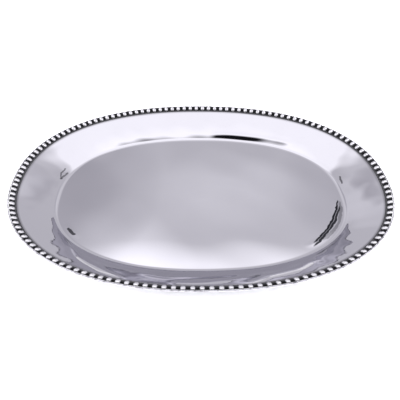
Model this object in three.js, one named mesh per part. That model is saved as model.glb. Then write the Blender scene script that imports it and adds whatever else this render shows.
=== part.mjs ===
// Oval serving tray: a polished pan with a flat well, a wide sloping flange and a beaded border.
// The border is a groove sunk into the flange. A blackened channel strip lies in the groove, lengths
// of beaded wire stand in the channel, and a round wire runs outside the cut edge of the pan.
// Millimetres, +Z up, +X along the tray, origin at the middle of the underside that it rests on.
import * as THREE from 'three';

const { degToRad, lerp, clamp } = THREE.MathUtils;

// Outline. Every ring of the tray is measured inwards from the bead line, the middle of the border.
const OVERALL_LENGTH = 440;
const OVERALL_WIDTH = 336.6;
const RIM_SQUARENESS = 2.22;        // 2 is a true ellipse, and more is fuller at the corners
const WELL_SQUARENESS = 2.28;

// Pan, all of one thickness of metal.
const METAL = 2.6;
const RIM_SLOPE = degToRad(28);     // flange at the border
const FOOT_SLOPE = degToRad(40);    // flange where it turns into the well
const FOOT_RADIUS = 8.7;
const WELL_INSET = 46;              // bead line to the edge of the flat well

// Border, measured outwards and upwards from the bead line, square to the sloping flange.
const GROOVE_INNER = -5;
const GROOVE_DEPTH = 1.4;
const PAN_EDGE = 2.65;
const PLAY = 0.3;                   // solder gap between pieces that touch
const CHANNEL_THICKNESS = 0.5;
const CHANNEL_OUTER = [2.6, 2.85];  // below and above, so its outer side leans over the edge wire
const BEAD_OUT = -0.2;
const BEAD_HALF_WIDTH = 3.3;
const BEAD_HEIGHT = 1.55;
const WIRE_RADIUS = 0.85;
const WIRE_RAISE = -1.25;

// Beaded wire.
const BEADS = 139;
const BEAD_START = 0.0328;          // turn of the first neck past +X
const BEAD_UNEVENNESS = 0.054;      // the wire is stretched by this share at one end of the tray
const BEAD_LOOSEST = -0.047;        // and is loosest at this turn past +X
const BEAD_SWELL = [0.3, 0.88, 1, 0.88];  // neck, shoulder, crown, shoulder
const STRIP_COUNT = 8;
const STRIP_GAP = 0.02;             // of a bead, left open at each end of a strip
const CHANNEL_COUNT = 4;
const CHANNEL_STEPS = 16;

// Fineness of the rings.
const RING_STEPS = 72;
const FLANGE_STEPS = 5;
const FOOT_STEPS = 3;
const WIRE_SIDES = 8;

const WIRE_OUT = PAN_EDGE + PLAY + WIRE_RADIUS;
const CHANNEL_BASE = -GROOVE_DEPTH + PLAY;
const CHANNEL_TOP = CHANNEL_BASE + CHANNEL_THICKNESS;
const BEAD_BASE = CHANNEL_TOP + PLAY;
const OUTLINE_BEYOND_BEADS = outward(WIRE_OUT, WIRE_RAISE) + WIRE_RADIUS;
const HALF_LENGTH = OVERALL_LENGTH / 2 - OUTLINE_BEYOND_BEADS;
const HALF_WIDTH = OVERALL_WIDTH / 2 - OUTLINE_BEYOND_BEADS;
const FOOT_START = WELL_INSET - FOOT_RADIUS * Math.sin(FOOT_SLOPE);
const WELL_REACH = HALF_WIDTH - WELL_INSET;
const BEAD_LINE_HEIGHT = METAL + flangeDrop(FOOT_START) + FOOT_RADIUS * (1 - Math.cos(FOOT_SLOPE));

// A border point's level distance beyond the bead line, and its height above the bead line.
function outward(out, raise) {
  return out * Math.cos(RIM_SLOPE) - raise * Math.sin(RIM_SLOPE);
}

function upward(out, raise) {
  return out * Math.sin(RIM_SLOPE) + raise * Math.cos(RIM_SLOPE);
}

// The flange steepens gently on its way down to the well.
function flangeSlope(inward) {
  return lerp(RIM_SLOPE, FOOT_SLOPE, (inward / FOOT_START) ** 3);
}

function flangeDrop(inward) {
  const slices = 40;
  let drop = 0;
  for (let i = 0; i < slices; i += 1) {
    drop += Math.tan(flangeSlope((inward * (i + 0.5)) / slices)) * (inward / slices);
  }
  return drop;
}

// Point of the oval at this angle, moved inwards from the bead line square to it.
function ovalPoint(angle, inward) {
  const squareness = lerp(RIM_SQUARENESS, WELL_SQUARENESS, clamp(inward / WELL_INSET, 0, 1));
  const along = Math.abs(Math.cos(angle) / HALF_LENGTH);
  const across = Math.abs(Math.sin(angle) / HALF_WIDTH);
  const radius = (along ** squareness + across ** squareness) ** (-1 / squareness);
  const point = new THREE.Vector2(Math.cos(angle), Math.sin(angle)).multiplyScalar(radius);
  const normal = new THREE.Vector2(
    (Math.sign(point.x) * Math.abs(point.x / HALF_LENGTH) ** (squareness - 1)) / HALF_LENGTH,
    (Math.sign(point.y) * Math.abs(point.y / HALF_WIDTH) ** (squareness - 1)) / HALF_WIDTH,
  );
  return point.addScaledVector(normal.normalize(), -inward);
}

// A ring is turned round on the tray's narrow half-width, then pressed out to the oval.
function ovalRing(profile) {
  const geometry = new THREE.LatheGeometry(profile, RING_STEPS).rotateX(Math.PI / 2);
  const position = geometry.getAttribute('position');
  for (let i = 0; i < position.count; i += 1) {
    const angle = Math.atan2(position.getY(i), position.getX(i));
    const reach = Math.hypot(position.getX(i), position.getY(i));
    const inward = Math.min(HALF_WIDTH - reach, WELL_INSET);
    const point = ovalPoint(angle, inward).multiplyScalar(Math.min(reach / WELL_REACH, 1));
    position.setXY(i, point.x, point.y);
  }
  return geometry;
}

// The pan's upper face from the edge of the well to the border, moved down by the depth given.
function flangeFace(depth) {
  const points = [];
  const centre = new THREE.Vector2(WELL_REACH, METAL + FOOT_RADIUS);
  for (let i = 0; i <= FOOT_STEPS; i += 1) {
    const slope = (FOOT_SLOPE * i) / FOOT_STEPS;
    const spoke = new THREE.Vector2(Math.sin(slope), -Math.cos(slope));
    points.push(centre.clone().addScaledVector(spoke, FOOT_RADIUS + depth));
  }
  for (let i = 1; i < FLANGE_STEPS; i += 1) {
    const inward = lerp(FOOT_START, -GROOVE_INNER, i / FLANGE_STEPS);
    const slope = flangeSlope(inward);
    const point = new THREE.Vector2(HALF_WIDTH - inward, BEAD_LINE_HEIGHT - flangeDrop(inward));
    const down = new THREE.Vector2(Math.sin(slope), -Math.cos(slope));
    points.push(point.addScaledVector(down, depth));
  }
  return points;
}

function borderPoint(out, raise) {
  const reach = HALF_WIDTH + outward(out, raise);
  return new THREE.Vector2(reach, BEAD_LINE_HEIGHT + upward(out, raise));
}

function panProfile() {
  const edgeTop = borderPoint(PAN_EDGE, -GROOVE_DEPTH);
  const edgeDrop = (METAL - GROOVE_DEPTH) / Math.cos(RIM_SLOPE);
  return [
    new THREE.Vector2(0, 0),
    ...flangeFace(METAL),
    edgeTop.clone().setY(edgeTop.y - edgeDrop),
    edgeTop,
    borderPoint(GROOVE_INNER, -GROOVE_DEPTH),
    borderPoint(GROOVE_INNER, 0),
    ...flangeFace(0).reverse(),
    new THREE.Vector2(0, METAL),
  ];
}

function wireProfile() {
  const centre = borderPoint(WIRE_OUT, WIRE_RAISE);
  const points = [];
  for (let i = 0; i <= WIRE_SIDES; i += 1) {
    const angle = (2 * Math.PI * (i % WIRE_SIDES)) / WIRE_SIDES;
    const spoke = new THREE.Vector2(Math.cos(angle), Math.sin(angle));
    points.push(centre.clone().addScaledVector(spoke, WIRE_RADIUS));
  }
  return points;
}

// Level oval that runs anticlockwise at a fixed border position.
class BorderLine extends THREE.Curve {
  constructor(raise) {
    super();
    this.arcLengthDivisions = 1440;
    this.inward = -outward(0, raise);
    this.height = BEAD_LINE_HEIGHT + upward(0, raise);
  }

  getPoint(turn) {
    const point = ovalPoint(2 * Math.PI * turn, this.inward);
    return new THREE.Vector3(point.x, point.y, this.height);
  }
}

// Stretch of a border line. placeOf gives the turn reached at each share of the stretch.
class BorderStretch extends THREE.Curve {
  constructor(line, placeOf) {
    super();
    this.line = line;
    this.placeOf = placeOf;
  }

  getPoint(share) {
    return this.line.getPointAt(THREE.MathUtils.euclideanModulo(this.placeOf(share), 1));
  }

  getPointAt(share) {
    return this.getPoint(share);
  }

  getTangentAt(share) {
    return this.getTangent(share);
  }
}

// A straight-sided bar bent along the border. Its corners are measured square to the flange.
// An anticlockwise level path carries a section's x axis downwards and its y axis inwards.
function borderBar(path, steps, corners) {
  const points = corners.map(
    ([out, raise]) => new THREE.Vector2(-upward(out, raise), -outward(out, raise)),
  );
  const shape = new THREE.Shape(points);
  return new THREE.ExtrudeGeometry(shape, { steps, bevelEnabled: false, extrudePath: path });
}

// Turn past +X at a place counted in beads.
function beadTurn(bead) {
  const even = bead / BEADS;
  const stretch = Math.sin(2 * Math.PI * (even - BEAD_LOOSEST)) / (2 * Math.PI);
  return BEAD_START + even + BEAD_UNEVENNESS * stretch;
}

// Beaded wire is a plain domed bar that is squeezed to a neck between each two beads.
function beadStrip(firstBead, lastBead) {
  const from = firstBead + STRIP_GAP;
  const to = lastBead - STRIP_GAP;
  const path = new BorderStretch(
    new BorderLine(BEAD_BASE),
    (share) => beadTurn(lerp(from, to, share)),
  );
  const steps = (lastBead - firstBead) * BEAD_SWELL.length;
  const geometry = borderBar(path, steps, [
    [BEAD_OUT - BEAD_HALF_WIDTH, 0],
    [BEAD_OUT + BEAD_HALF_WIDTH, 0],
    [BEAD_OUT + 0.76 * BEAD_HALF_WIDTH, 0.68 * BEAD_HEIGHT],
    [BEAD_OUT, BEAD_HEIGHT],
    [BEAD_OUT - 0.76 * BEAD_HALF_WIDTH, 0.68 * BEAD_HEIGHT],
  ]);
  const stations = path.getSpacedPoints(steps);
  const position = geometry.getAttribute('position');
  const vertex = new THREE.Vector3();
  for (let i = 0; i < position.count; i += 1) {
    vertex.fromBufferAttribute(position, i);
    const distances = stations.map((station) => station.distanceTo(vertex));
    const station = distances.indexOf(Math.min(...distances));
    const swell = BEAD_SWELL[station % BEAD_SWELL.length];
    vertex.sub(stations[station]).multiplyScalar(swell).add(stations[station]);
    position.setXYZ(i, vertex.x, vertex.y, vertex.z);
  }
  return geometry;
}

function channelLength(index) {
  const path = new BorderStretch(
    new BorderLine(CHANNEL_BASE),
    (share) => (index + lerp(0.0003, 0.9997, share)) / CHANNEL_COUNT,
  );
  const inner = GROOVE_INNER + PLAY;
  const [outerBelow, outerAbove] = CHANNEL_OUTER;
  return borderBar(path, CHANNEL_STEPS, [
    [inner, 0],
    [outerBelow, 0],
    [outerAbove, CHANNEL_THICKNESS],
    [inner, CHANNEL_THICKNESS],
  ]);
}

const polishedMetal = { color: 0xcfccd6, roughness: 0.12, metalness: 1 };
const blackenedMetal = { color: 0x16151b, roughness: 0.55, metalness: 0.6 };

function piece(name, geometry, finish) {
  const mesh = new THREE.Mesh(geometry, new THREE.MeshStandardMaterial(finish));
  mesh.name = name;
  return mesh;
}

const tray = new THREE.Group();
tray.name = 'serving_tray';
tray.add(piece('tray_pan', ovalRing(panProfile()), polishedMetal));
tray.add(piece('edge_wire', ovalRing(wireProfile()), polishedMetal));

const border = new THREE.Group();
for (let i = 0; i < CHANNEL_COUNT; i += 1) {
  border.add(piece(`border_channel_${i + 1}`, channelLength(i), blackenedMetal));
}
for (let i = 0; i < STRIP_COUNT; i += 1) {
  const firstBead = Math.round((BEADS * i) / STRIP_COUNT);
  const lastBead = Math.round((BEADS * (i + 1)) / STRIP_COUNT);
  border.add(piece(`bead_strip_${i + 1}`, beadStrip(firstBead, lastBead), polishedMetal));
}
tray.add(border);

export default tray;
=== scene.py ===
"""Oval serving tray with a beaded border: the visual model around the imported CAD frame.

Metres, +Z up, +X along the tray. Every piece is built as a fine mesh where its CAD node lies, from the
same driving sizes, and replaces that node. Lengths in the constants below are metres.
"""

import math
import random

import bpy
import numpy as np
from mathutils import Matrix, Vector


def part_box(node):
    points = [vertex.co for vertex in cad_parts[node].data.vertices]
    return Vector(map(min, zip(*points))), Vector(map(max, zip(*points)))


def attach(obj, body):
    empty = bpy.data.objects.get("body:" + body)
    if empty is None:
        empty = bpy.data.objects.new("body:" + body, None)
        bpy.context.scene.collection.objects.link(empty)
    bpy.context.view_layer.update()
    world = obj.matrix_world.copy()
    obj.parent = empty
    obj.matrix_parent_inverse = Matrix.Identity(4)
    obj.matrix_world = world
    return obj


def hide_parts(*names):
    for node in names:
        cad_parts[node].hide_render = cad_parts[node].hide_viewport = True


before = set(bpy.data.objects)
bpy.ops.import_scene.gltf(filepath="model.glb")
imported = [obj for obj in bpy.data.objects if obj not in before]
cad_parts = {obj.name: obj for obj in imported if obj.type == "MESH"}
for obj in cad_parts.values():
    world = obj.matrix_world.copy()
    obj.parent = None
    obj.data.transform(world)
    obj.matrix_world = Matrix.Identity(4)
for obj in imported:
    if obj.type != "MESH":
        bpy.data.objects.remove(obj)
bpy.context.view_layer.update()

MM = 0.001

# Outline of the tray. Rings are measured inwards from the bead line, the middle of the border.
RIM_SQUARENESS = 2.22
WELL_SQUARENESS = 2.28
METAL = 2.6 * MM
RIM_SLOPE = math.radians(28)
FOOT_SLOPE = math.radians(40)
FOOT_RADIUS = 8.7 * MM
WELL_INSET = 46 * MM

# Border, measured outwards and upwards from the bead line, square to the sloping flange.
GROOVE_INNER = -5 * MM
GROOVE_DEPTH = 1.4 * MM
PAN_EDGE = 2.65 * MM
CORNER_RADIUS = 0.55 * MM
PLAY = 0.3 * MM
CHANNEL_THICKNESS = 0.5 * MM
CHANNEL_OUTER = (2.6 * MM, 2.85 * MM)
BEAD_OUT = -0.2 * MM
BEAD_HALF_WIDTH = 3.3 * MM
BEAD_HALF_LENGTH = 2.5 * MM
BEAD_HEIGHT = 1.55 * MM
WIRE_RADIUS = 0.85 * MM
WIRE_OUT = PAN_EDGE + PLAY + WIRE_RADIUS
WIRE_RAISE = -1.25 * MM
CHANNEL_BASE = -GROOVE_DEPTH + PLAY
BEAD_BASE = CHANNEL_BASE + CHANNEL_THICKNESS + PLAY

# Beaded wire. Places round the tray are shares of one turn from +X.
BEADS = 139
BEAD_START = 0.0328
BEAD_UNEVENNESS = 0.054
BEAD_LOOSEST = -0.047
BEAD_SQUARENESS = 2.5
BEAD_FULLNESS = 0.85

# Lengths that the border is made in. Half a gap is a share of one bead, or of one channel length.
STRIP_COUNT = 8
STRIP_HALF_GAP = 0.02
CHANNEL_COUNT = 4
CHANNEL_HALF_GAP = 0.0003

# How far dark stain spreads from the groove, and how far the channel is worn from its inner edge.
STAIN_REACH = 2.8 * MM
WORN_REACH = 1.5 * MM

# Fineness of the meshes.
RING_STEPS = 640
FOOT_STEPS = 12
FLANGE_STEPS = 44
UNDERSIDE_STEPS = 16
WIRE_SIDES = 16
CHANNEL_STEPS = 120
CHANNEL_ROWS = 8

# Sides of the pan that a ring of its skin can be on.
TOP, BORDER, UNDERSIDE = 2, 1, 0


# ---------------------------------------------------------------- shape of the tray

def outward(out, lift):
    """Level distance beyond the bead line of a border point."""
    return out * math.cos(RIM_SLOPE) - lift * math.sin(RIM_SLOPE)


def upward(out, lift):
    """Height above the bead line of a border point."""
    return out * math.sin(RIM_SLOPE) + lift * math.cos(RIM_SLOPE)


FOOT_START = WELL_INSET - FOOT_RADIUS * math.sin(FOOT_SLOPE)
EDGE = outward(WIRE_OUT, WIRE_RAISE) + WIRE_RADIUS
HALF_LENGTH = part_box("edge_wire")[1].x - EDGE
HALF_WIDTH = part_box("edge_wire")[1].y - EDGE


def flange_slope(inward):
    """The flange steepens gently on its way down to the well."""
    return RIM_SLOPE + (FOOT_SLOPE - RIM_SLOPE) * (inward / FOOT_START) ** 3


def flange_drop(inward):
    """How far the flange has sunk below the bead line."""
    slices = (np.arange(60) + 0.5) / 60
    return float(np.tan(flange_slope(inward * slices)).mean() * inward)


BEAD_LINE_HEIGHT = METAL + flange_drop(FOOT_START) + FOOT_RADIUS * (1 - math.cos(FOOT_SLOPE))


def oval(angle, inward):
    """Points of the oval at these angles, moved inwards square to it, with the outward directions."""
    angle = np.asarray(angle, float)
    share = np.clip(inward / WELL_INSET, 0, 1)
    n = RIM_SQUARENESS + (WELL_SQUARENESS - RIM_SQUARENESS) * share
    along, across = np.abs(np.cos(angle) / HALF_LENGTH), np.abs(np.sin(angle) / HALF_WIDTH)
    radius = (along ** n + across ** n) ** (-1 / n)
    x, y = radius * np.cos(angle), radius * np.sin(angle)
    nx = np.sign(x) * np.abs(x / HALF_LENGTH) ** (n - 1) / HALF_LENGTH
    ny = np.sign(y) * np.abs(y / HALF_WIDTH) ** (n - 1) / HALF_WIDTH
    size = np.hypot(nx, ny)
    nx, ny = nx / size, ny / size
    return x - inward * nx, y - inward * ny, nx, ny


ANGLES = np.linspace(0, 2 * np.pi, 5761)
LINE_X, LINE_Y, _, _ = oval(ANGLES, 0.0)
LINE_LENGTH = np.concatenate([[0], np.cumsum(np.hypot(np.diff(LINE_X), np.diff(LINE_Y)))])


def turn_to_angle(turn):
    """Polar angle at a share of the way round the bead line from +X."""
    return np.interp(np.mod(turn, 1.0) * LINE_LENGTH[-1], LINE_LENGTH, ANGLES)


def bead_turn(bead):
    """Share of the way round of a bead: the beads lie a little looser on one side of the tray."""
    even = bead / BEADS
    stretch = math.sin(2 * math.pi * (even - BEAD_LOOSEST)) / (2 * math.pi)
    return BEAD_START + even + BEAD_UNEVENNESS * stretch


def border_points(angle, out, lift):
    """Points of the border at these polar angles."""
    x, y, _, _ = oval(angle, -outward(out, lift))
    return np.stack([x, y, np.full_like(x, BEAD_LINE_HEIGHT + upward(out, lift))], axis=-1)


# ---------------------------------------------------------------- meshes

def new_object(name, vertices, faces):
    mesh = bpy.data.meshes.new(name)
    mesh.from_pydata([tuple(v) for v in vertices], [], faces)
    mesh.validate()
    mesh.update()
    mesh.polygons.foreach_set("use_smooth", [True] * len(mesh.polygons))
    piece = bpy.data.objects.new(name, mesh)
    bpy.context.scene.collection.objects.link(piece)
    return piece


def skin(rows, columns, closed_rows, closed_columns):
    """Quads over a grid of vertices numbered row by row."""
    faces = []
    for i in range(rows if closed_rows else rows - 1):
        for j in range(columns if closed_columns else columns - 1):
            a, b = i * columns + j, i * columns + (j + 1) % columns
            k = ((i + 1) % rows) * columns
            faces.append((a, k + j, k + (j + 1) % columns, b))
    return faces


def set_attribute(piece, name, values):
    layer = piece.data.attributes.new(name, "FLOAT", "POINT")
    layer.data.foreach_set("value", [float(v) for v in values])


def waves(x, y, seed, length, count=14):
    """Smooth random ripple of about unit height, made of plane waves near the given length."""
    draw = random.Random(seed)
    total = np.zeros_like(x)
    for _ in range(count):
        heading, phase = draw.uniform(0, math.tau), draw.uniform(0, math.tau)
        size = math.tau / (length * draw.uniform(0.7, 1.6))
        total += np.sin(size * (x * math.cos(heading) + y * math.sin(heading)) + phase)
    return total / math.sqrt(count / 2)


def smoothstep(low, high, x):
    t = np.clip((x - low) / (high - low), 0, 1)
    return t * t * (3 - 2 * t)


# ---------------------------------------------------------------- the pan

def flange_face(depth, steps):
    """(inward, height) from the edge of the well out to the groove, moved down by depth."""
    points = []
    for slope in np.linspace(0, FOOT_SLOPE, FOOT_STEPS):
        reach = (FOOT_RADIUS + depth) * math.sin(slope)
        height = METAL + FOOT_RADIUS - (FOOT_RADIUS + depth) * math.cos(slope)
        points.append((WELL_INSET - reach, height))
    for inward in np.linspace(FOOT_START, -outward(GROOVE_INNER, 0), steps)[1:-1]:
        slope = flange_slope(inward)
        height = BEAD_LINE_HEIGHT - flange_drop(inward)
        points.append((inward - depth * math.sin(slope), height - depth * math.cos(slope)))
    return points


def border_place(out, lift):
    """(inward, height) of a border point."""
    return (-outward(out, lift), BEAD_LINE_HEIGHT + upward(out, lift))


def rounded(points, radius, steps=4):
    """The polyline with its middle corners rounded off."""
    path = [points[0]]
    for before, corner, after in zip(points, points[1:], points[2:]):
        c = Vector(corner)
        one, two = Vector(before) - c, Vector(after) - c
        start, end = c + one.normalized() * radius, c + two.normalized() * radius
        for k in range(steps + 1):
            t = k / steps
            path.append(tuple(start * (1 - t) ** 2 + c * 2 * t * (1 - t) + end * t ** 2))
    return path + [points[-1]]


def pan_profile():
    """Section of the pan outside the well: its top, its border and its underside."""
    top = flange_face(0, FLANGE_STEPS)
    under = flange_face(METAL, UNDERSIDE_STEPS)
    edge_top = border_place(PAN_EDGE, -GROOVE_DEPTH)
    edge_drop = (METAL - GROOVE_DEPTH) / math.cos(RIM_SLOPE)
    border = [
        top[-1],
        border_place(GROOVE_INNER, 0),
        border_place(GROOVE_INNER, -GROOVE_DEPTH),
        edge_top,
        (edge_top[0], edge_top[1] - edge_drop),
        under[-1],
    ]
    return top, rounded(border, CORNER_RADIUS)[1:-1], under[::-1]


def pan_rings(angle):
    """Rings of points over the pan's skin, from the middle of its top to the middle of its underside,
    with the side that each ring is on, how stained it is, and how far inwards each point lies."""
    # The well's rings lie at shares of the way out from its middle, closer together near its edge.
    well_shares = np.concatenate([np.linspace(0.03, 0.78, 22), np.linspace(0.79, 1, 26)[:-1]])
    edge_x, edge_y, _, _ = oval(angle, WELL_INSET)
    rings, sides, stains, insets = [], [], [], []

    def add_ring(x, y, height, side, stain, inset):
        rings.append(np.stack([x, y, np.full_like(x, height)], axis=-1))
        sides.append(side)
        stains.append(stain)
        insets.append(np.zeros_like(x) + inset)

    for share in well_shares:
        inset = WELL_INSET + (1 - share) * np.hypot(edge_x, edge_y)
        add_ring(edge_x * share, edge_y * share, METAL, TOP, 0, inset)
    for side, places in zip((TOP, BORDER, UNDERSIDE), pan_profile()):
        for inward, height in places:
            x, y, _, _ = oval(angle, inward)
            stain = 1 - smoothstep(0, STAIN_REACH, inward + outward(GROOVE_INNER, 0))
            add_ring(x, y, height, side, 0 if side == UNDERSIDE else stain, inward)
    for share in well_shares[::-3]:
        add_ring(edge_x * share, edge_y * share, 0, UNDERSIDE, 0, 0)
    return np.array(rings), np.array(sides), np.array(stains), np.array(insets)


def pan_faces(rings):
    """Faces between the rings, and fans to the first and last vertex, at the middle of each side."""
    faces = [tuple(v + 1 for v in face) for face in skin(rings, RING_STEPS, False, True)]
    first_of_last_ring = 1 + (rings - 1) * RING_STEPS
    last = 1 + rings * RING_STEPS
    for j in range(RING_STEPS):
        k = (j + 1) % RING_STEPS
        faces.append((0, 1 + j, 1 + k))
        faces.append((last, first_of_last_ring + k, first_of_last_ring + j))
    return faces


def build_pan():
    angle = np.linspace(0, 2 * np.pi, RING_STEPS, endpoint=False)
    grid, side, stain, inset = pan_rings(angle)
    polar = np.degrees(np.arctan2(grid[:, :, 1], grid[:, :, 0]))
    on_top = (side == TOP)[:, None]
    # Marks in the colour: the stain by the groove, and painted highlights along the welts.
    marks = {
        "stain": np.repeat(stain, RING_STEPS),
        "painted_highlight": (on_top * along_routes(PAINTED_HIGHLIGHTS, polar, inset)).ravel(),
    }
    ripple_top(grid, side, inset)
    vertices = [(0, 0, METAL)] + list(grid.reshape(-1, 3)) + [(0, 0, 0)]
    pan = new_object("pan", vertices, pan_faces(len(grid)))
    for name, values in marks.items():
        set_attribute(pan, name, [0] + list(values) + [0])
    return pan


# Marks on the pan. Each follows a route of places, given as polar angle in degrees and mm inwards
# from the bead line, and has a half-width in mm and a strength. For the low welts left by casting and
# polishing, the strength is their height in mm.
WELTS = [
    ([(-74, 6), (-66, 16), (-57, 17), (-47, 26)], 3.5, 0.80),
    ([(-146, 35), (-138, 24), (-130, 18), (-119, 8)], 3.0, 0.70),
    ([(-102, 10), (-90, 11), (-80, 16), (-74, 20)], 3.5, 0.40),
    ([(-116, 26), (-105, 22), (-95, 25), (-77, 27)], 4.0, 0.45),
    ([(40, 35), (60, 36), (82, 36.5)], 3.0, 0.55),
    ([(-36, 54), (-6, 52)], 3.0, 0.16),
    ([(-160, 52), (-154, 52)], 3.0, 0.10),
]
# Painted highlights: reflections along the welts, painted as lines brighter than the rest of the pan.
PAINTED_HIGHLIGHTS = [
    ([(-76, 6), (-72, 9), (-68, 15), (-60, 17), (-54, 17)], 2.4, 1.0),
    ([(-54, 17), (-50, 21), (-46, 23)], 1.8, 1.0),
    ([(-146, 33), (-139, 22), (-133, 16), (-127, 11), (-118, 9)], 1.0, 0.7),
]
# Degrees before and after each end of its route over which a mark fades.
ROUTE_FADE = 3
# Distance over which the ripple dies away towards the border and towards the flat well.
RIPPLE_FADE = 6 * MM


def along_routes(routes, angle, inward):
    """Strength of the marks at these places."""
    total = np.zeros_like(inward)
    for route, half_width, strength in routes:
        stops, places = zip(*route)
        offset = inward / MM - np.interp(angle, stops, places)
        starting = smoothstep(stops[0] - ROUTE_FADE, stops[0] + ROUTE_FADE, angle)
        ending = 1 - smoothstep(stops[-1] - ROUTE_FADE, stops[-1] + ROUTE_FADE, angle)
        total += strength * starting * ending * np.exp(-((offset / half_width) ** 2))
    return total


def ripple_top(grid, side, inward):
    """Gentle unevenness of hand finishing over the upper face."""
    top = side == TOP
    x, y, z = grid[top, :, 0], grid[top, :, 1], grid[top, :, 2]
    rise = smoothstep(0, RIPPLE_FADE, BEAD_LINE_HEIGHT - z)
    flange = smoothstep(METAL, METAL + RIPPLE_FADE, z)
    ripple = 0.15 * waves(x, y, 3, 60 * MM) + 0.08 * waves(x, y, 4, 24 * MM)
    floor_ripple = 0.10 * waves(x, y, 5, 80 * MM)
    lift = flange * ripple + (1 - flange) * floor_ripple
    lift += along_routes(WELTS, np.degrees(np.arctan2(y, x)), inward[top])
    grid[top, :, 2] += MM * rise * lift


# ---------------------------------------------------------------- the border

def sweep(name, angle, section, closed):
    """Skin a closed (out, lift) section along the border at these polar angles."""
    grid = np.stack([border_points(angle, out, lift) for out, lift in section], axis=1)
    rows, columns = grid.shape[:2]
    faces = skin(rows, columns, closed, True)
    if not closed:
        faces.append(tuple(range(columns)))
        faces.append(tuple(reversed(range((rows - 1) * columns, rows * columns))))
    return new_object(name, grid.reshape(-1, 3), faces)


def build_wire():
    section = []
    for k in range(WIRE_SIDES):
        a = math.tau * k / WIRE_SIDES
        out, lift = math.cos(a), math.sin(a)
        # The section is round in level and upright directions, so it is turned back by the slope.
        section.append((
            WIRE_OUT + WIRE_RADIUS * (out * math.cos(RIM_SLOPE) + lift * math.sin(RIM_SLOPE)),
            WIRE_RAISE + WIRE_RADIUS * (lift * math.cos(RIM_SLOPE) - out * math.sin(RIM_SLOPE)),
        ))
    angle = np.linspace(0, 2 * np.pi, RING_STEPS, endpoint=False)
    return sweep("edge_wire_round", angle, section, closed=True)


def build_channel(index):
    inner, (outer_below, outer_above) = GROOVE_INNER + PLAY, CHANNEL_OUTER
    top = CHANNEL_BASE + CHANNEL_THICKNESS
    section = [(inner, CHANNEL_BASE), (outer_below, CHANNEL_BASE)]
    for share in np.linspace(1, 0, CHANNEL_ROWS):
        section.append((inner + (outer_above - inner) * share, top))
    places = np.linspace(CHANNEL_HALF_GAP, 1 - CHANNEL_HALF_GAP, CHANNEL_STEPS)
    turns = (index + places) / CHANNEL_COUNT
    channel = sweep(f"channel_{index + 1}", turn_to_angle(turns), section, closed=False)
    worn = [1 - smoothstep(0, WORN_REACH, out - inner) for out, _ in section]
    set_attribute(channel, "worn", worn * len(turns))
    return channel


def bead_dome(draw):
    """One bead in (along, out, lift): a squarish dome, and how bright each point is, from 0 at its
    black foot.
    Its outer side is painted lighter than its inner side: painted light outside and painted shade
    inside."""
    length = BEAD_HALF_LENGTH * draw.uniform(0.95, 1.05)
    width = BEAD_HALF_WIDTH * draw.uniform(0.96, 1.0)
    height = BEAD_HEIGHT * draw.uniform(0.93, 0.98)
    spin = math.radians(draw.uniform(-4, 4))
    shift = draw.uniform(-0.12, 0.12) * MM
    rings, around = 9, 22
    points, clean_and_lit = [], []
    for i in range(rings):
        share = math.sin(0.5 * math.pi * (i + 1) / rings)
        lift = height * math.cos(0.5 * math.pi * (i + 1) / rings) ** BEAD_FULLNESS
        for k in range(around):
            a = math.tau * k / around
            corner = abs(math.cos(a)) ** BEAD_SQUARENESS + abs(math.sin(a)) ** BEAD_SQUARENESS
            squarish = corner ** (-1 / BEAD_SQUARENESS)
            u, v = share * squarish * math.cos(a), share * squarish * math.sin(a)
            along = length * (u * math.cos(spin) - v * math.sin(spin)) + shift
            out = width * (u * math.sin(spin) + v * math.cos(spin))
            points.append((along, max(-BEAD_HALF_WIDTH, min(BEAD_HALF_WIDTH, out)), lift))
            # From the black foot up to the crown, plus painted light on the outer side.
            clean_and_lit.append(lift / height + 0.6 * max(0, v) ** 2)
    points.append((shift, 0, height))
    clean_and_lit.append(1)
    faces = skin(rings, around, False, True)
    faces = [tuple(reversed(face)) for face in faces]
    crown = len(points) - 1
    for k in range(around):
        faces.append((crown, k, (k + 1) % around))
    faces.append(tuple(reversed(range((rings - 1) * around, rings * around))))
    return points, clean_and_lit, faces


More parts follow.
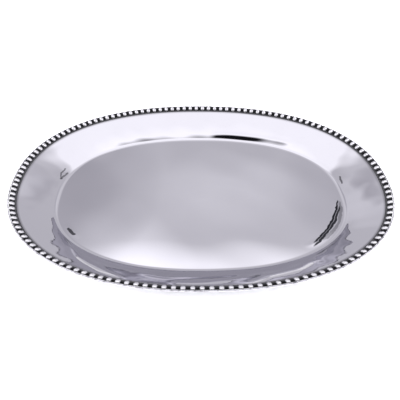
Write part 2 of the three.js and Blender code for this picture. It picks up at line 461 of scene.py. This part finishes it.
def build_strip(index):
    """One length of beaded wire: its domes, and the necks between them as one thin bar."""
    draw = random.Random(100 + index)
    first = round(BEADS * index / STRIP_COUNT)
    last = round(BEADS * (index + 1) / STRIP_COUNT)
    vertices, clean_and_lit, faces = [], [], []
    for bead in range(first, last):
        angle = turn_to_angle(bead_turn(bead + 0.5))
        x, y, nx, ny = oval(angle, -outward(0, BEAD_BASE))
        out_way = Vector((nx * math.cos(RIM_SLOPE), ny * math.cos(RIM_SLOPE), math.sin(RIM_SLOPE)))
        lift_way = Vector((-nx * math.sin(RIM_SLOPE), -ny * math.sin(RIM_SLOPE), math.cos(RIM_SLOPE)))
        along_way = Vector((-ny, nx, 0))
        centre = Vector((x, y, BEAD_LINE_HEIGHT + upward(0, BEAD_BASE)))
        points, dome_clean_and_lit, dome_faces = bead_dome(draw)
        start = len(vertices)
        vertices += [
            centre + along_way * a + out_way * (BEAD_OUT + o) + lift_way * u for a, o, u in points
        ]
        clean_and_lit += dome_clean_and_lit
        faces += [tuple(v + start for v in face) for face in dome_faces]
    places = np.linspace(first + STRIP_HALF_GAP, last - STRIP_HALF_GAP, (last - first) * 4)
    angle = turn_to_angle(np.array([bead_turn(place) for place in places]))
    # Section of the necks, in mm out and up from the foot of the beads.
    neck = [(-1.0, 0.0), (1.0, 0.0), (0.8, 0.45), (0, 0.65), (-0.8, 0.45)]
    grid = np.stack([border_points(angle, o * MM, BEAD_BASE + u * MM) for o, u in neck], axis=1)
    rows, columns = grid.shape[:2]
    start = len(vertices)
    neck_faces = skin(rows, columns, False, True)
    neck_faces.append(tuple(range(columns)))
    neck_faces.append(tuple(reversed(range((rows - 1) * columns, rows * columns))))
    vertices += [Vector(v) for v in grid.reshape(-1, 3)]
    clean_and_lit += [0] * (rows * columns)
    faces += [tuple(v + start for v in face) for face in neck_faces]
    strip = new_object(f"beads_{index + 1}", vertices, faces)
    set_attribute(strip, "clean_and_lit", clean_and_lit)
    return strip


# ---------------------------------------------------------------- materials

def node_material(name):
    material = bpy.data.materials.new(name)
    material.use_nodes = True
    nodes, links = material.node_tree.nodes, material.node_tree.links
    return material, nodes, links, nodes["Principled BSDF"]


def place(nodes, links, scale):
    """Object coordinates stretched by scale."""
    coordinates = nodes.new("ShaderNodeTexCoord")
    mapping = nodes.new("ShaderNodeMapping")
    mapping.inputs["Scale"].default_value = scale
    links.new(coordinates.outputs["Object"], mapping.inputs["Vector"])
    return mapping.outputs["Vector"]


def noise(nodes, links, vector, scale, detail, output="Fac"):
    texture = nodes.new("ShaderNodeTexNoise")
    texture.inputs["Scale"].default_value = scale
    texture.inputs["Detail"].default_value = detail
    links.new(vector, texture.inputs["Vector"])
    return texture.outputs[output]


def attribute(nodes, name):
    node = nodes.new("ShaderNodeAttribute")
    node.attribute_name = name
    return node.outputs["Fac"]


def remap(nodes, links, value, low, high, from_low=0.0, from_high=1.0):
    node = nodes.new("ShaderNodeMapRange")
    node.inputs["From Min"].default_value = from_low
    node.inputs["From Max"].default_value = from_high
    node.inputs["To Min"].default_value = low
    node.inputs["To Max"].default_value = high
    links.new(value, node.inputs["Value"])
    return node.outputs["Result"]


def multiply(nodes, links, first, second):
    node = nodes.new("ShaderNodeMath")
    node.operation = "MULTIPLY"
    links.new(first, node.inputs[0])
    links.new(second, node.inputs[1])
    return node.outputs[0]


def vector_math(nodes, links, operation, first, second=(0, 0, 0)):
    """Outputs of a vector operation on a socket and, where it takes two, a fixed vector."""
    node = nodes.new("ShaderNodeVectorMath")
    node.operation = operation
    links.new(first, node.inputs[0])
    node.inputs[1].default_value = second
    return node.outputs


def blend_colours(nodes, links, factor, first, second):
    mix = nodes.new("ShaderNodeMix")
    mix.data_type = "RGBA"
    links.new(factor, mix.inputs["Factor"])
    mix.inputs["A"].default_value = (*first, 1)
    mix.inputs["B"].default_value = (*second, 1)
    return mix.outputs["Result"]


def tint(nodes, links, factor, colour, toward):
    """The colour of a socket, drawn toward another by a factor."""
    mix = nodes.new("ShaderNodeMix")
    mix.data_type = "RGBA"
    links.new(factor, mix.inputs["Factor"])
    links.new(colour, mix.inputs["A"])
    mix.inputs["B"].default_value = (*toward, 1)
    return mix.outputs["Result"]


def add_bump(nodes, links, shader, height, distance):
    bump = nodes.new("ShaderNodeBump")
    bump.inputs["Distance"].default_value = distance
    links.new(height, bump.inputs["Height"])
    links.new(bump.outputs["Normal"], shader.inputs["Normal"])


# Painted dark reflections along the creases of the pan, as arcs in plan: centre x and y and radius in
# mm, heading of the middle of the arc and half its sweep in degrees, half its width in mm, and
# darkness.
DARK_REFLECTION_ARCS = [
    (12, 33, 158, -31, 16, 1.7, 0.98),
    (4, 39, 171, -34, 14, 1.8, 0.95),
    (83, -10, 83, -28, 28, 2.2, 0.45),
    (-78, -4, 90, -139, 5, 2.0, 0.85),
    (-128, 29, 48, 170, 13, 1.1, 0.6),
    (-250, 76, 88, -28, 5, 1.1, 0.6),
    (125, 20, 51, 4, 8, 1.3, 0.7),
]
DARK_REFLECTION_WOBBLE = 6 * MM


def paint_dark_reflections(nodes, links, vector, colour):
    """Paints dark reflections into the colour along the arcs, which waver and thin out at their ends.
    """
    wobble = noise(nodes, links, vector, 90, 3, output="Color")
    shift = nodes.new("ShaderNodeVectorMath")
    shift.operation = "MULTIPLY_ADD"
    shift.inputs[1].default_value = (DARK_REFLECTION_WOBBLE, DARK_REFLECTION_WOBBLE, 0)
    links.new(wobble, shift.inputs[0])
    links.new(vector, shift.inputs[2])
    # The noise is 0.5 on average, so the centres of the painted dark reflections move by half the
    # wobble.
    average = DARK_REFLECTION_WOBBLE / 2
    for x, y, radius, heading, sweep, width, darkness in DARK_REFLECTION_ARCS:
        centre = (x * MM + average, y * MM + average, 0)
        spoke = vector_math(nodes, links, "SUBTRACT", shift.outputs["Vector"], centre)["Vector"]
        reach = vector_math(nodes, links, "LENGTH", spoke)["Value"]
        inner = remap(nodes, links, reach, 0, 1, (radius - width) * MM, radius * MM)
        outer = remap(nodes, links, reach, 1, 0, radius * MM, (radius + width) * MM)
        unit = vector_math(nodes, links, "NORMALIZE", spoke)["Vector"]
        heading = math.radians(heading)
        middle_way = (math.cos(heading), math.sin(heading), 0)
        toward = vector_math(nodes, links, "DOT_PRODUCT", unit, middle_way)["Value"]
        ends = math.cos(math.radians(sweep))
        middle = remap(nodes, links, toward, 0, 1, ends, (1 + ends) / 2)
        line = multiply(nodes, links, multiply(nodes, links, inner, outer), middle)
        strong = remap(nodes, links, line, 0, darkness, 0.06, 0.38)
        colour = tint(nodes, links, strong, colour, (0.008, 0.009, 0.014))
    return colour


def polished_pan():
    """Hand-polished metal: a soft mirror with cloudy lustre and hairlines, stain by the groove, painted
    highlights and painted dark reflections.
    """
    material, nodes, links, shader = node_material("polished_pan")
    shader.inputs["Metallic"].default_value = 1
    vector = place(nodes, links, (1, 1, 1))
    cloud = noise(nodes, links, vector, 14, 3)
    colour = blend_colours(nodes, links, cloud, (0.545, 0.537, 0.585), (0.59, 0.58, 0.63))
    blotch = remap(nodes, links, noise(nodes, links, vector, 500, 3), 0.45, 0.85)
    bleed = multiply(nodes, links, attribute(nodes, "stain"), blotch)
    colour = tint(nodes, links, bleed, colour, (0.10, 0.098, 0.11))
    # Painted highlights along the welts.
    colour = tint(nodes, links, attribute(nodes, "painted_highlight"), colour, (0.96, 0.95, 0.98))
    # Painted dark reflections along the creases of the pan.
    colour = paint_dark_reflections(nodes, links, place(nodes, links, (1, 1, 0)), colour)
    links.new(colour, shader.inputs["Base Color"])
    shader.inputs["Specular Tint"].default_value = (0.85, 0.85, 0.87, 1)
    hairs = noise(nodes, links, place(nodes, links, (1, 14, 1)), 900, 2)
    rough = remap(nodes, links, hairs, 0.03, 0.07)
    links.new(rough, shader.inputs["Roughness"])
    add_bump(nodes, links, shader, hairs, 0.000002)
    return material


def polished_edge():
    """Dull, slightly worn metal with a patchy tone."""
    material, nodes, links, shader = node_material("polished_edge")
    shader.inputs["Metallic"].default_value = 0.85
    vector = place(nodes, links, (1, 1, 1))
    stain = noise(nodes, links, vector, 260, 3)
    patchy = remap(nodes, links, stain, 0, 1, 0.33, 0.5)
    colour = blend_colours(nodes, links, patchy, (0.20, 0.195, 0.215), (0.52, 0.51, 0.55))
    links.new(colour, shader.inputs["Base Color"])
    links.new(remap(nodes, links, stain, 0.3, 0.15), shader.inputs["Roughness"])
    add_bump(nodes, links, shader, stain, 0.0001)
    return material


def blackened_channel():
    """Matt black, a little paler where it is worn along its inner edge."""
    material, nodes, links, shader = node_material("blackened_channel")
    vector = place(nodes, links, (1, 1, 1))
    grain = noise(nodes, links, vector, 900, 4)
    colour = blend_colours(nodes, links, grain, (0.0015, 0.0015, 0.002), (0.006, 0.006, 0.008))
    worn = multiply(nodes, links, attribute(nodes, "worn"), grain)
    colour = tint(nodes, links, worn, colour, (0.12, 0.12, 0.13))
    links.new(colour, shader.inputs["Base Color"])
    shader.inputs["Specular IOR Level"].default_value = 0.12
    links.new(remap(nodes, links, grain, 0.45, 0.75), shader.inputs["Roughness"])
    add_bump(nodes, links, shader, grain, 0.00015)
    return material


def polished_beads():
    """Bright domes whose feet keep the black of the groove, with painted light on their outer sides and
    painted shade on their inner sides.
    """
    material, nodes, links, shader = node_material("polished_beads")
    vector = place(nodes, links, (1, 1, 1))
    ragged = remap(nodes, links, noise(nodes, links, vector, 700, 3), -0.12, 0.12)
    add = nodes.new("ShaderNodeMath")
    add.operation = "ADD"
    # Brightness of the beads: black at their feet, with painted light on their outer sides.
    links.new(attribute(nodes, "clean_and_lit"), add.inputs[0])
    links.new(ragged, add.inputs[1])
    bright = remap(nodes, links, add.outputs[0], 0, 1, 0.16, 0.34)
    colour = blend_colours(nodes, links, bright, (0.003, 0.003, 0.004), (0.67, 0.66, 0.70))
    links.new(colour, shader.inputs["Base Color"])
    links.new(remap(nodes, links, bright, 0, 0.9), shader.inputs["Metallic"])
    shader.inputs["Specular IOR Level"].default_value = 0.12
    links.new(remap(nodes, links, bright, 0.55, 0.12), shader.inputs["Roughness"])
    return material


# ---------------------------------------------------------------- assembly

def finish_piece(piece, material, nodes):
    piece.data.materials.append(material)
    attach(piece, "root")
    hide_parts(*nodes)


def build_tray():
    finish_piece(build_pan(), polished_pan(), ["tray_pan"])
    finish_piece(build_wire(), polished_edge(), ["edge_wire"])
    black = blackened_channel()
    for index in range(CHANNEL_COUNT):
        finish_piece(build_channel(index), black, [f"border_channel_{index + 1}"])
    bright = polished_beads()
    for index in range(STRIP_COUNT):
        finish_piece(build_strip(index), bright, [f"bead_strip_{index + 1}"])


# ---------------------------------------------------------------- studio

CAMERA_ELEVATION = math.radians(40.7)
CAMERA_AZIMUTH = math.radians(-1.86)
CAMERA_ROLL = math.radians(-1.07)
CAMERA_DISTANCE = 0.5187
CAMERA_TARGET = Vector((-0.0025, -0.0409, BEAD_LINE_HEIGHT))
CAMERA_LENS = 41.93
# Half a pixel of an image 400 pixels wide.
CAMERA_SHIFT = 0.5 / 400
FLOOR_HALF = 6


def build_camera():
    azimuth, elevation = CAMERA_AZIMUTH, CAMERA_ELEVATION
    back = Vector((
        math.sin(azimuth) * math.cos(elevation),
        -math.cos(azimuth) * math.cos(elevation),
        math.sin(elevation),
    ))
    right = Vector((math.cos(azimuth), math.sin(azimuth), 0))
    up = back.cross(right)
    cos_roll, sin_roll = math.cos(CAMERA_ROLL), math.sin(CAMERA_ROLL)
    right, up = right * cos_roll - up * sin_roll, right * sin_roll + up * cos_roll
    data = bpy.data.cameras.new("camera")
    data.sensor_width = 36
    data.lens = CAMERA_LENS
    data.clip_start = 0.01
    data.shift_x, data.shift_y = -CAMERA_SHIFT, CAMERA_SHIFT
    camera = bpy.data.objects.new("camera", data)
    axes = Matrix((right, up, back)).transposed().to_4x4()
    camera.matrix_world = Matrix.Translation(CAMERA_TARGET + back * CAMERA_DISTANCE) @ axes
    bpy.context.scene.collection.objects.link(camera)
    bpy.context.scene.camera = camera


def build_floor():
    mesh = bpy.data.meshes.new("floor")
    corners = [(x * FLOOR_HALF, y * FLOOR_HALF, 0) for x, y in ((-1, -1), (1, -1), (1, 1), (-1, 1))]
    mesh.from_pydata(corners, [], [(0, 1, 2, 3)])
    floor = bpy.data.objects.new("floor", mesh)
    bpy.context.scene.collection.objects.link(floor)
    material, nodes, links, shader = node_material("floor")
    shader.inputs["Base Color"].default_value = (0.93, 0.93, 0.94, 1)
    shader.inputs["Roughness"].default_value = 0.9
    shader.inputs["Specular IOR Level"].default_value = 0.1
    mesh.materials.append(material)


def softbox(name, centre, size, radiance, aim=(0, 0, 0), glossy=True):
    """Rectangular area light of the given surface brightness."""
    data = bpy.data.lights.new(name, "AREA")
    data.shape = "RECTANGLE"
    data.size, data.size_y = size
    data.energy = radiance * math.pi * size[0] * size[1]
    light = bpy.data.objects.new(name, data)
    light.location = centre
    way = Vector(aim) - Vector(centre)
    light.rotation_euler = way.to_track_quat("-Z", "Y").to_euler()
    light.visible_glossy = glossy
    bpy.context.scene.collection.objects.link(light)
    return light


def patch(nodes, links, way, azimuth, elevation, reach):
    """1 in one direction of the room, fading to 0 at this many degrees from it."""
    azimuth, elevation = math.radians(azimuth), math.radians(elevation)
    middle_way = (
        math.sin(azimuth) * math.cos(elevation),
        math.cos(azimuth) * math.cos(elevation),
        math.sin(elevation),
    )
    toward = vector_math(nodes, links, "DOT_PRODUCT", way, middle_way)["Value"]
    return remap(nodes, links, toward, 0, 1, math.cos(math.radians(reach)), 1)


def build_world():
    """Pale lavender room, with brighter and darker patches beyond the tray and a dark ceiling behind
    the camera."""
    world = bpy.data.worlds.new("studio")
    world.use_nodes = True
    nodes, links = world.node_tree.nodes, world.node_tree.links
    background = nodes["Background"]
    coordinates = nodes.new("ShaderNodeTexCoord")
    way = coordinates.outputs["Generated"]
    split = nodes.new("ShaderNodeSeparateXYZ")
    links.new(way, split.inputs[0])
    upper = remap(nodes, links, split.outputs["Z"], 0, 1, 0.63, 0.71)
    room = blend_colours(nodes, links, upper, (0.79, 0.78, 0.815), (0.89, 0.88, 0.915))
    above = remap(nodes, links, split.outputs["Z"], 0, 1, 0.50, 0.57)
    shade = multiply(nodes, links, patch(nodes, links, way, -19, 36, 12), above)
    for factor, colour in (
        (patch(nodes, links, way, -24, 24, 22), (0.97, 0.96, 1.0)),
        (patch(nodes, links, way, -13, 49, 9), (1.25, 1.24, 1.28)),
        (patch(nodes, links, way, 27, 34, 11), (0.67, 0.66, 0.70)),
        (shade, (0.60, 0.59, 0.63)),
    ):
        room = tint(nodes, links, factor, room, colour)
    behind = remap(nodes, links, split.outputs["Y"], 1, 0, -0.45, -0.25)
    high = remap(nodes, links, split.outputs["Z"], 0, 1, 0.30, 0.45)
    room = tint(nodes, links, multiply(nodes, links, behind, high), room, (0.01, 0.01, 0.012))
    links.new(room, background.inputs["Color"])
    bpy.context.scene.world = world


def panel_place(light):
    """Nodes of the light, with where on its panel it is seen: 0 to 1 along and across."""
    light.data.use_nodes = True
    nodes, links = light.data.node_tree.nodes, light.data.node_tree.links
    geometry = nodes.new("ShaderNodeNewGeometry")
    split = nodes.new("ShaderNodeSeparateXYZ")
    links.new(geometry.outputs["Parametric"], split.inputs[0])
    return nodes, links, split.outputs


def fade_overhead(light):
    """The overhead softbox dims a little towards the camera and fades out at its long sides."""
    nodes, links, where = panel_place(light)
    far = remap(nodes, links, where["Y"], 0, 1, 0.0, 0.20)
    near = remap(nodes, links, where["Y"], 1, 0, 0.80, 0.96)
    middle = remap(nodes, links, where["Y"], 1, 0.8, 0.2, 0.45)
    strength = multiply(nodes, links, multiply(nodes, links, far, near), middle)
    links.new(strength, nodes["Emission"].inputs["Strength"])


def fade_glow(light):
    """The glow is brightest in the middle of its panel and has no edge."""
    nodes, links, where = panel_place(light)
    sides = []
    for side in "XY":
        rising = remap(nodes, links, where[side], 0, 1, 0.0, 0.4)
        falling = remap(nodes, links, where[side], 1, 0, 0.6, 1.0)
        sides.append(multiply(nodes, links, rising, falling))
    links.new(multiply(nodes, links, *sides), nodes["Emission"].inputs["Strength"])


def build_lights():
    fade_overhead(softbox("overhead", (0, 0.155, 0.52), (1.5, 0.59), 0.87, aim=(0, 0.155, 0)))
    fade_glow(softbox("glow", (0.15, 1.12, 0.9), (1.0, 0.55), 0.20, aim=(0.15, 1.12, 0)))
    softbox("fill", (0, 0, 1.2), (5, 5), 3.2, glossy=False)


build_camera()
build_tray()
build_floor()
build_world()
build_lights()
bpy.context.scene.view_settings.view_transform = "Standard"
